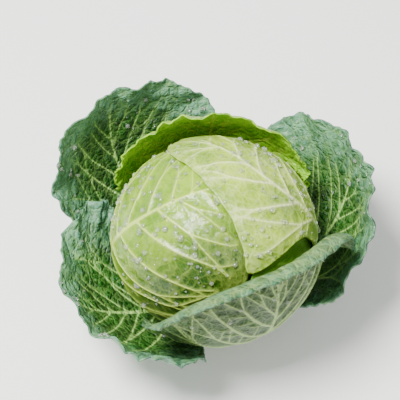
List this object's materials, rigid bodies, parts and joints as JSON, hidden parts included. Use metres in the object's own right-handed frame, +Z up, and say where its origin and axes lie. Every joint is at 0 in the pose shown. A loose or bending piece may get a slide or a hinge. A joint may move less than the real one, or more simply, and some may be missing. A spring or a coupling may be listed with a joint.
{
  "type": "white cabbage",
  "caption": "Whole white cabbage: a round packed head wrapped in veined leaves, sitting in a spread bowl of loose outer leaves on a cut stalk.",
  "frame": {"origin": "centre of the stalk's cut face, the face the cabbage rests on", "axes": "+Z up from the cut face along the stalk, -Y towards the front, +X to the right seen from the front"},
  "size_m": [0.2741, 0.2698, 0.1855],
  "materials": {
    "cut_stalk": "moist cut stalk, satin",
    "heart_leaf": "pale packed leaf, satin",
    "head_leaf": "fresh waxy leaf, satin, wet",
    "crown_leaf": "fresh pale waxy leaf, satin, wet",
    "grey_wrapper_leaf": "leaf underside with wax bloom, matte",
    "bright_wrapper_leaf": "fresh waxy leaf, satin",
    "dark_wrapper_leaf": "deep green leaf with blue-grey bloom, satin"
  },
  "bodies": {
    "root": {"stalk": "cut_stalk", "heart": "heart_leaf", "head_leaf_back": "head_leaf", "head_leaf_left": "head_leaf", "head_leaf_front": "head_leaf", "head_leaf_crown": "crown_leaf", "wrapper_leaf_front": "grey_wrapper_leaf", "wrapper_leaf_back": "bright_wrapper_leaf", "wrapper_leaf_left": "dark_wrapper_leaf", "wrapper_leaf_right": "dark_wrapper_leaf", "wrapper_leaf_rear_left": "dark_wrapper_leaf"}
  },
  "joints": []
}
